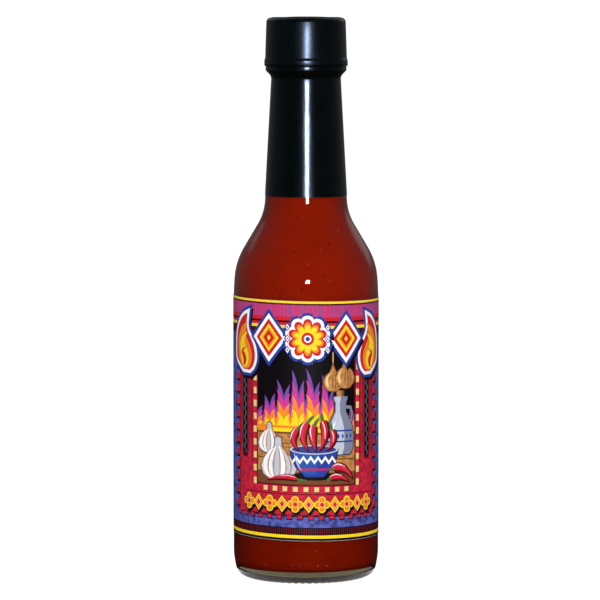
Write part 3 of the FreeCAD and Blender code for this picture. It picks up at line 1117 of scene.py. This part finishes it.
    def _title_row(self) -> None:
        """Sets the row of ornaments across the top."""
        for x, sway in ((-23.3, 2.6), (24.6, -2.6)):
            self._flame(x, self.height - 22.4, sway)
        x, middle = 0.5, self.height - 11.7
        for side in SIDES:
            spot = x + side * 12.7
            lozenge = ring(spot, middle, 4.7, 6.0, 4)
            rims = ((Ink.YELLOW, -1.0), (Ink.ORANGE, -1.7), (Ink.RED, -2.2))
            cores = [(ink, grown(lozenge, by)) for ink, by in rims]
            self._jewel(lozenge, [*cores, (Ink.YELLOW, ring(spot, middle, 0.65, 0.9, 4))])
        eyes = ((Ink.RED, 2.0, 24), (Ink.WHITE, 1.15, 20), (Ink.COBALT, 0.7, 16))
        petals = ((Ink.ORANGE, 5.2, 3.6), (Ink.YELLOW, 4.4, 2.8))
        cores = [(ink, rosette(x, middle, long, short, 10)) for ink, long, short in petals]
        cores += [(ink, ring(x, middle, size, size, sides)) for ink, size, sides in eyes]
        self._jewel(rosette(x, middle, 6.3, 4.7, 10), cores)
        beads = ((Ink.COBALT, 1.0, 1.4), (Ink.WHITE, 0.62, 0.95), (Ink.RED, 0.3, 0.5))
        for side in SIDES:
            for y in (-3.6, 0.0, 3.6):
                for ink, wide, tall in beads:
                    self.add(ink, ring(x + side * 6.4, middle + y, wide, tall, 4))

    def _foot_row(self) -> None:
        """Sets the row of small ornaments below the picture."""
        y = 11.5
        for i in range(11):
            x = -21.2 + 4.24 * i + 0.8
            if i % 2:
                shape, core = ring(x, y, 1.9, 2.5, 4), ring(x, y, 0.75, 1.1, 4)
            else:
                shape = rosette(x, y, 2.5, 1.5, 4)
                core = ring(x, y, 0.7, 0.7, 12)
            self.add(Ink.BLACK, moved(grown(shape, 0.3), 0.4, -0.8))
            self.add(Ink.YELLOW, grown(shape, 0.1))
            self.add(Ink.ORANGE, grown(shape, -0.28))
            self.add(Ink.CREAM, grown(core, 0.22))
            self.add(Ink.RED, core)
        for low in (8.1, 14.7):
            self.add(Ink.MAROON, bar(-22.6, low - 0.16, 24.2, low + 0.16))


@dataclass(frozen=True)
class PrintedPaper:
    """One printed finish on coated paper: slightly uneven ink with a soft shine."""

    ink: Ink
    unevenness: float = 0.12
    grain: float = 900.0
    shine: float = 0.08

    def build(self) -> bpy.types.Material:
        """Makes the material."""
        look = self.ink.value
        finish = Finish(f"ink_{self.ink.name.lower()}")
        colour = Print.light(look.tint)
        if look.clouds:
            cloud = finish.noise(finish.place(), 1.0 / (look.patch * MM), 3.0)
            colours = finish.blend(cloud, [(0.38, Print.light(look.clouds)), (0.60, colour)])
        else:
            cloud = finish.noise(finish.place(), self.grain, 2.0)
            colours = finish.blend(cloud, [(0.3, shaded(colour, 1.0 - self.unevenness)), (0.7, colour)])
        if look.stripe:
            colours = self._striped(finish, colours)
        finish.colour(colours)
        finish.gloss(finish.span(cloud, 0.44, 0.54))
        finish.set(Specular_IOR_Level=self.shine)
        return finish.material

    def _striped(self, finish: Finish, ground: bpy.types.NodeSocket) -> bpy.types.NodeSocket:
        """Rules upright pinstripes over a ground.

        Args:
            finish: The material.
            ground: The colour between the stripes.

        Returns:
            The striped colour.
        """
        look = self.ink.value
        flat = finish.nodes.new("ShaderNodeUVMap")
        flat.uv_map = SHEET_MAP
        count = finish.maths("MULTIPLY", finish.split(flat.outputs["UV"])["X"], 1.0 / (look.pitch * MM))
        inside = finish.maths("LESS_THAN", finish.maths("FRACT", count), look.line / look.pitch)
        return finish.mixed(inside, ground, Print.light(look.stripe))


# ---------------------------------------------------------------- pieces


@dataclass
class GlassBottle:
    """The bottle: one turned skin, outside and inside."""

    outside: tuple[Corner, ...] = (
        Corner(0.0, 1.7), Corner(9.0, 1.7, 22.0), Corner(16.6, 0.0, 1.2), Corner(21.8, 0.0, 4.0),
        Corner(23.0, 7.0, 20.0), Corner(23.0, 89.5, 110.0), Corner(22.44, 100.05, 22.4),
        Corner(13.2, 115.5, 17.0), Corner(10.85, 158.7, 2.0), Corner(12.66, 160.55, 0.4),
        Corner(12.66, 161.9, 0.4), Corner(11.2, 161.9), Corner(11.2, 175.55, 0.6),
    )
    inside: tuple[Corner, ...] = (
        Corner(8.25, 175.55, 0.6), Corner(8.25, 158.7, 4.0), Corner(10.6, 115.5, 19.6),
        Corner(20.14, 99.45, 20.1), Corner(20.7, 89.5, 110.0), Corner(20.7, 3.4, 2.5),
        Corner(9.0, 5.7, 30.0), Corner(0.0, 5.7),
    )
    steps: int = 224
    stipples: int = 56
    stipple_depth: float = 0.3
    ring: tuple[float, float] = (17.0, 20.2)
    stipple_top: float = 1.2
    dot_reach: float = 22.9
    dot_height: float = 6.2
    dot_radius: float = 0.6
    dot_rise: float = 0.16
    dot_cuts: int = 5
    dots: tuple[float, ...] = (-68.0, -61.5, -55.0, -33.0, -11.5, -4.5, 9.5, 16.5)

    def build(self) -> bpy.types.Object:
        """Makes the bottle."""
        mesh = bmesh.new()
        Outline([*self.outside, *self.inside]).draw(mesh)
        turn_solid(mesh, self.steps)
        self._stipple(mesh)
        self._emboss(mesh)
        piece = finish_piece(mesh, "Bottle_Glass", Node.BOTTLE, [ClearGlass().build()])
        piece.visible_shadow = False
        return piece

    def _stipple(self, mesh: bmesh.types.BMesh) -> None:
        """Nicks the standing ring all round, as a mould does.

        Args:
            mesh: The bottle's mesh.
        """
        every = self.steps // self.stipples
        for vert in mesh.verts:
            away = math.hypot(vert.co.x, vert.co.y)
            column = round(math.atan2(vert.co.y, vert.co.x) / math.tau * self.steps) % every
            if column == 0 and vert.co.z < self.stipple_top and self.ring[0] < away < self.ring[1]:
                vert.co.z += self.stipple_depth

    def _emboss(self, mesh: bmesh.types.BMesh) -> None:
        """Raises the small moulded dots on the heel.

        Args:
            mesh: The bottle's mesh.
        """
        marks = mesh.verts.layers.float.new(MARKS)
        for turn in self.dots:
            angle = math.radians(turn)
            out = Vector((math.sin(angle), -math.cos(angle), 0.0))
            spot = out * self.dot_reach + Vector((0.0, 0.0, self.dot_height))
            near = [
                f for f in mesh.faces
                if (f.calc_center_median() - spot).length < self.dot_radius * 2.0 and f.normal.dot(spot) > 0.0
            ]
            edges = list({e for f in near for e in f.edges})
            bmesh.ops.subdivide_edges(mesh, edges=edges, cuts=self.dot_cuts, use_grid_fill=True)
            for vert in mesh.verts:
                off = (vert.co - spot).length / self.dot_radius
                if off < 1.0:
                    vert.co += out * self.dot_rise * (1.0 - off * off)
                    vert[marks] = 1.0 - off * off * off


@dataclass
class SauceFill:
    """The sauce: it fills the bottle and reaches just into the wall."""

    reach: float = 0.05
    level: float = 140.0
    steps: int = 160
    floor: float = 10.0
    cavity: tuple[Corner, ...] = GlassBottle.inside[:0:-1]

    def build(self) -> bpy.types.Object:
        """Makes the sauce."""
        low, high = self.cavity[-2], self.cavity[-1]
        share = (self.level - low.up) / (high.up - low.up)
        edge = low.across + (high.across - low.across) * share + self.reach
        body = [self._into_wall(corner) for corner in self.cavity[:-1]]
        mesh = bmesh.new()
        Outline([*body, Corner(edge, self.level), Corner(0.0, self.level)]).draw(mesh)
        turn_solid(mesh, self.steps)
        return finish_piece(mesh, "Sauce_Fill", Node.SAUCE, [RedSauce().build()])

    def _into_wall(self, corner: Corner) -> Corner:
        """Moves a corner of the cavity just into the glass: out from the axis, down at the floor.

        Args:
            corner: The corner.

        Returns:
            The moved corner.
        """
        out = self.reach if corner.across > self.floor else 0.0
        down = self.reach if corner.up < self.floor else 0.0
        return Corner(corner.across + out, corner.up - down, corner.round)


@dataclass
class ShrinkBand:
    """The film band that is shrunk over the cap and the neck."""

    film: float = 0.12
    low: float = 121.1
    bead: float = 12.66
    flange: float = 13.05
    skirt: float = 12.78
    crown: float = 12.38
    lip: float = 10.62
    lip_top: float = 177.28
    notch: float = -0.35
    notch_half: float = 0.35
    notch_depth: float = 0.2
    steps: int = 224

    def build(self) -> bpy.types.Object:
        """Makes the band."""
        mesh = bmesh.new()
        chain = Outline([*self._outer(), *self._inner()]).draw(mesh)
        mesh.edges.new((chain[-1], chain[0]))
        turn_solid(mesh, self.steps)
        for vert in mesh.verts:
            across = abs(vert.co.x - self.notch)
            if vert.co.z > self.lip_top - 0.08 and vert.co.y < 0.0 and across < self.notch_half:
                vert.co.z -= self.notch_depth
        return finish_piece(mesh, "Shrink_Band", Node.BAND, [BandFilm().build()])

    def _foot(self) -> float:
        """Gives the neck's radius at the band's lower edge."""
        root, top = GlassBottle.outside[NECK_ROOT], GlassBottle.outside[NECK_ROOT + 1]
        slope = (top.across - root.across) / (top.up - root.up)
        return root.across + slope * (self.low - root.up)

    def _outer(self) -> list[Corner]:
        """Gives the band's outside, from the lower edge to the lip."""
        t, neck = self.film, GlassBottle.outside[NECK_ROOT + 1]
        return [
            Corner(self._foot() + t, self.low), Corner(neck.across + t, neck.up, 2.0),
            Corner(self.bead + t, 160.55, 0.4), Corner(self.bead + t, 161.9 + t, 0.4),
            Corner(11.9, 162.1, 0.2), Corner(self.flange + t, 162.35, 0.3),
            Corner(self.flange + t, 163.6 + t, 0.35),
            Corner(self.skirt + t, 164.5, 0.4), Corner(self.crown + t, 176.9 + t, 1.45),
            Corner(self.lip + t, 177.1 + t, 0.1), Corner(self.lip + t, self.lip_top),
        ]

    def _inner(self) -> list[Corner]:
        """Gives the band's inside, from the lip to the lower edge."""
        neck = GlassBottle.outside[NECK_ROOT + 1]
        return [
            Corner(self.lip, self.lip_top), Corner(self.lip, 177.0, 0.1), Corner(self.crown, 176.9, 1.4),
            Corner(self.skirt, 164.5, 0.4), Corner(self.flange, 163.6, 0.35),
            Corner(self.flange, 162.45, 0.2),
            Corner(11.8, 162.1, 0.2), Corner(self.bead, 161.9, 0.3), Corner(self.bead, 160.55, 0.4),
            Corner(neck.across, neck.up, 2.0), Corner(self._foot(), self.low),
        ]


class ScrewCap:
    """The cap, which keeps its own solid under the band."""

    def build(self) -> bpy.types.Object:
        """Dresses the cap."""
        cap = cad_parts[Node.CAP.value]
        cap.data.materials.clear()
        cap.data.materials.append(CapPlastic().build())
        return cap


@dataclass
class Label:
    """The printed paper label, wrapped round the bottle."""

    radius: float = 23.095
    thick: float = 0.08
    low: float = 14.1
    high: float = 89.3
    gap: float = 3.0
    askew: float = -0.5 / 28.1
    strips: int = 144
    front: float = 33.0
    front_share: float = 0.72
    map_half: float = 0.49
    map_low: float = 0.04
    map_height: float = 0.94

    @property
    def half(self) -> float:
        """Half the label's length, in millimetres."""
        return math.pi * self.radius - self.gap / 2.0

    def build(self) -> bpy.types.Object:
        """Makes the label."""
        art = Artwork(self.half, self.high - self.low)
        art.paint()
        mesh = self._sheet(art)
        self._cut(mesh)
        self._map(mesh)
        self._wrap(mesh)
        inks = [PrintedPaper(ink).build() for ink in Ink]
        return finish_piece(mesh, "Label", Node.LABEL, inks)

    @staticmethod
    def _sheet(art: Artwork) -> bmesh.types.BMesh:
        """Cuts the painted shapes into one flat sheet, where the last painted shows.

        Args:
            art: The flat print.

        Returns:
            The sheet, with an ink to each face.
        """
        points: list[Vector] = []
        faces: list[list[int]] = []
        for _, outline in art.shapes:
            faces.append(list(range(len(points), len(points) + len(outline))))
            for x, y in leftward(outline):
                points.append(Vector((min(art.half, max(-art.half, x)), min(art.height, max(0.0, y)))))
        corners, _, cells, _, _, owners = delaunay_2d_cdt(points, [], faces, 1, 1e-4, True)
        inks = {ink: i for i, ink in enumerate(Ink)}
        mesh = bmesh.new()
        verts = [mesh.verts.new((c.x, c.y, 0.0)) for c in corners]
        for cell, owner in zip(cells, owners):
            face = mesh.faces.new([verts[i] for i in cell])
            face.material_index = inks[art.shapes[max(owner)][0]]
        mesh.normal_update()
        bmesh.ops.dissolve_limit(
            mesh, angle_limit=0.001, use_dissolve_boundaries=False, verts=mesh.verts[:],
            edges=mesh.edges[:], delimit={"MATERIAL"},
        )
        LOG.info("label: %d shapes, %d cells, %d faces", len(art.shapes), len(cells), len(mesh.faces))
        return mesh

    def _cut(self, mesh: bmesh.types.BMesh) -> None:
        """Cuts the sheet into upright strips that can bend.

        Args:
            mesh: The flat sheet.
        """
        for i in range(1, self.strips):
            where = self.half * (2.0 * i / self.strips - 1.0)
            bmesh.ops.bisect_plane(
                mesh, geom=mesh.verts[:] + mesh.edges[:] + mesh.faces[:], dist=1e-5,
                plane_co=(where, 0.0, 0.0), plane_no=(1.0, 0.0, 0.0),
            )

    def _map(self, mesh: bmesh.types.BMesh) -> None:
        """Lays the sheet's own map, which gives the front more room than the back.

        Args:
            mesh: The flat sheet.
        """
        packed = mesh.loops.layers.uv.new("OFBake")
        flat = mesh.loops.layers.uv.new(SHEET_MAP)
        height, rest = self.high - self.low, self.half - self.front
        for face in mesh.faces:
            for loop in face.loops:
                x, y = loop.vert.co.x, loop.vert.co.y
                loop[flat].uv = (x * MM, y * MM)
                inner = min(abs(x), self.front) / self.front * self.front_share
                outer = max(0.0, abs(x) - self.front) / rest * (1.0 - self.front_share)
                across = math.copysign(inner + outer, x) * self.map_half
                loop[packed].uv = (0.5 + across, self.map_low + self.map_height * y / height)

    def _wrap(self, mesh: bmesh.types.BMesh) -> None:
        """Wraps the sheet round the bottle and gives the paper its thickness.

        Args:
            mesh: The flat sheet.
        """
        for vert in mesh.verts:
            angle = vert.co.x / self.radius
            x = self.radius * math.sin(angle)
            vert.co = Vector((x, -self.radius * math.cos(angle), self.low + vert.co.y + self.askew * x))
        bmesh.ops.recalc_face_normals(mesh, faces=mesh.faces[:])
        if sum(f.normal.dot(f.calc_center_median() * Vector((1, 1, 0))) for f in mesh.faces[:50]) < 0:
            bmesh.ops.reverse_faces(mesh, faces=mesh.faces[:])
        front = set(mesh.faces)
        bmesh.ops.solidify(mesh, geom=mesh.faces[:], thickness=self.thick)
        paper = list(Ink).index(Ink.PAPER)
        for face in mesh.faces:
            if face not in front:
                face.material_index = paper


# ---------------------------------------------------------------- studio


@dataclass
class Studio:
    """The floor, the lamps, the sky and the camera."""

    eye: tuple[float, float, float] = (-0.0019, -1.157, 0.1853)
    pitch: float = 4.815
    lens: float = 219.66
    floor_size: float = 60.0
    floor_glow: float = 1.22
    floor_share: float = 0.80
    fill: float = 0.35
    tent_radius: float = 2.6
    tent_height: float = 5.0
    tent_lift: float = 0.0002
    tent_hole: float = 0.0245
    tent_front: float = 0.035
    tent_back: float = 0.13
    wing: float = 0.40
    wing_low: float = 0.55
    wing_tilt: float = 0.15

    def build(self) -> None:
        """Sets everything up."""
        self._floor()
        self._tent()
        self._sky()
        self._lamps()
        self._camera()
        bpy.context.scene.view_settings.view_transform = "Standard"

    def _floor(self) -> None:
        """Lays the plain pale floor, white to the eye but for the bottle's soft shadow."""
        mesh = bmesh.new()
        bmesh.ops.create_grid(mesh, x_segments=1, y_segments=1, size=self.floor_size)
        finish = Finish("floor")
        finish.set(Base_Color=(0.8, 0.8, 0.8, 1.0), Roughness=0.9, Specular_IOR_Level=0.0)
        glow = finish.nodes.new("ShaderNodeEmission")
        glow.inputs["Strength"].default_value = self.floor_glow
        mix = finish.nodes.new("ShaderNodeMixShader")
        finish.link(finish.surface.outputs["BSDF"], mix.inputs[1])
        finish.link(glow.outputs["Emission"], mix.inputs[2])
        finish.link(finish.maths("MULTIPLY", self._seen(finish), self.floor_share), mix.inputs["Fac"])
        finish.link(mix.outputs["Shader"], finish.output.inputs["Surface"])
        as_object(mesh, "Floor", [finish.material])

    @staticmethod
    def _seen(tree: Tree) -> bpy.types.NodeSocket:
        """Tells what the eye sees, straight or by gloss and glass, from what only lights dull surfaces.

        Args:
            tree: The tree of the surface or the sky.

        Returns:
            1 where it is seen and 0 where it lights.
        """
        path = tree.nodes.new("ShaderNodeLightPath").outputs
        eye = tree.joined("MAXIMUM", path["Is Camera Ray"], path["Is Glossy Ray"])
        eye = tree.joined("MAXIMUM", eye, path["Is Transmission Ray"])
        return tree.joined("MULTIPLY", eye, tree.maths("LESS_THAN", path["Diffuse Depth"], 0.5))

    def _tent(self) -> None:
        """Stands dim cloth round the bottle, which only its gloss shows."""
        mesh = bmesh.new()
        middle = Matrix.Translation((0.0, 0.0, self.tent_height / 2.0 + self.tent_lift))
        bmesh.ops.create_cone(
            mesh, cap_ends=True, segments=48, radius1=self.tent_radius, radius2=self.tent_radius,
            depth=self.tent_height, matrix=middle,
        )
        foot = min(mesh.faces, key=lambda face: face.calc_center_median().z)
        inset = self.tent_radius - self.tent_hole
        bmesh.ops.inset_individual(mesh, faces=[foot], thickness=inset, use_even_offset=False)
        bmesh.ops.delete(mesh, geom=[foot], context="FACES")
        finish = Finish("tent")
        glow = finish.nodes.new("ShaderNodeEmission")
        where = finish.nodes.new("ShaderNodeTexCoord").outputs["Object"]
        finish.link(self._cloth(finish, where), glow.inputs["Strength"])
        finish.link(glow.outputs["Emission"], finish.output.inputs["Surface"])
        tent = as_object(mesh, "Tent", [finish.material])
        tent.visible_camera = tent.visible_diffuse = tent.visible_transmission = tent.visible_shadow = False

    def _cloth(self, finish: Finish, where: bpy.types.NodeSocket) -> bpy.types.NodeSocket:
        """Says how bright the tent is: dim near the foot, with a brighter wing at each side of the back.

        Args:
            finish: The tent's material.
            where: The coordinates in the tent.

        Returns:
            The brightness.
        """
        spot = finish.split(where)
        back = finish.ramp(spot["Y"], (-2.0, 1.5), (self.tent_front, self.tent_back))
        far = finish.nodes.new("ShaderNodeVectorMath")
        far.operation = "LENGTH"
        finish.link(where, far.inputs[0])
        near = finish.ramp(far.outputs["Value"], (0.15, 1.5), (0.15, 1.0))
        beside = finish.ramp(finish.maths("ABSOLUTE", spot["X"]), (0.7, 1.1), (0.0, 1.0))
        behind = finish.ramp(spot["Y"], (1.5, 1.9), (0.0, self.wing))
        lift = finish.joined("ADD", spot["Z"], finish.maths("MULTIPLY", spot["X"], self.wing_tilt))
        high = finish.ramp(lift, (self.wing_low, self.wing_low + 0.35), (0.0, 1.0))
        wings = finish.joined("MULTIPLY", finish.joined("MULTIPLY", beside, behind), high)
        return finish.joined("ADD", finish.joined("MULTIPLY", back, near), wings)

    def _sky(self) -> None:
        """Makes a white sky for the eye, the glass and the gloss, and a soft fill for the rest."""
        world = bpy.data.worlds.new("Sky")
        world.use_nodes = True
        tree = Tree(world.node_tree)
        mix = tree.nodes.new("ShaderNodeMixShader")
        tree.link(self._seen(tree), mix.inputs["Fac"])
        for place, strength in ((1, self.fill), (2, 1.0)):
            light = tree.nodes.new("ShaderNodeBackground")
            light.inputs["Color"].default_value = (1.0, 1.0, 1.0, 1.0)
            light.inputs["Strength"].default_value = strength
            tree.link(light.outputs[0], mix.inputs[place])
        out = tree.nodes.new("ShaderNodeOutputWorld")
        tree.link(mix.outputs[0], out.inputs["Surface"])
        bpy.context.scene.world = world

    def _lamp(
        self, name: str, spot: tuple[float, float, float], size: tuple[float, float], power: float,
        colour: tuple[float, float, float],
    ) -> bpy.types.Object:
        """Hangs a lamp that faces the bottle.

        Args:
            name: The lamp's name.
            spot: Where it hangs, in metres.
            size: Its width and height, in metres.
            power: Its power in watts.
            colour: Its colour.

        Returns:
            The lamp.
        """
        light = bpy.data.lights.new(name, "AREA")
        light.shape = "RECTANGLE"
        light.size, light.size_y = size
        light.energy = power
        light.color = colour
        lamp = bpy.data.objects.new(name, light)
        lamp.location = spot
        lamp.rotation_euler = (Vector((0.0, 0.0, 0.09)) - Vector(spot)).to_track_quat("-Z", "Y").to_euler()
        bpy.context.scene.collection.objects.link(lamp)
        return lamp

    def _lamps(self) -> None:
        """Hangs the lamps."""
        self._lamp("Key", (0.055, -1.15, 0.225), (0.12, 0.08), 9.0, (0.95, 0.97, 1.0))
        for name, spot, size, power in (
            ("Soft", (0.0, -0.5, 1.6), 1.6, 8.0), ("Behind", (0.0, 1.5, 0.55), 0.8, 9.0),
        ):
            soft = self._lamp(name, spot, (size, size), power, (1.0, 1.0, 1.0))
            soft.visible_glossy = soft.visible_transmission = False

    def _camera(self) -> None:
        """Sets the camera."""
        data = bpy.data.cameras.new("Camera")
        data.lens = self.lens
        data.sensor_width = 36.0
        camera = bpy.data.objects.new("Camera", data)
        camera.location = self.eye
        camera.rotation_euler = (math.radians(90.0 - self.pitch), 0.0, 0.0)
        bpy.context.scene.collection.objects.link(camera)
        bpy.context.scene.camera = camera


def main() -> None:
    """Builds the bottle and its studio."""
    logging.basicConfig(level=logging.INFO, format="%(message)s")
    for part in (GlassBottle(), SauceFill(), ScrewCap(), ShrinkBand(), Label()):
        piece = part.build()
        LOG.info("built %s", piece.name)
    Studio().build()


if __name__ == "__main__":
    main()
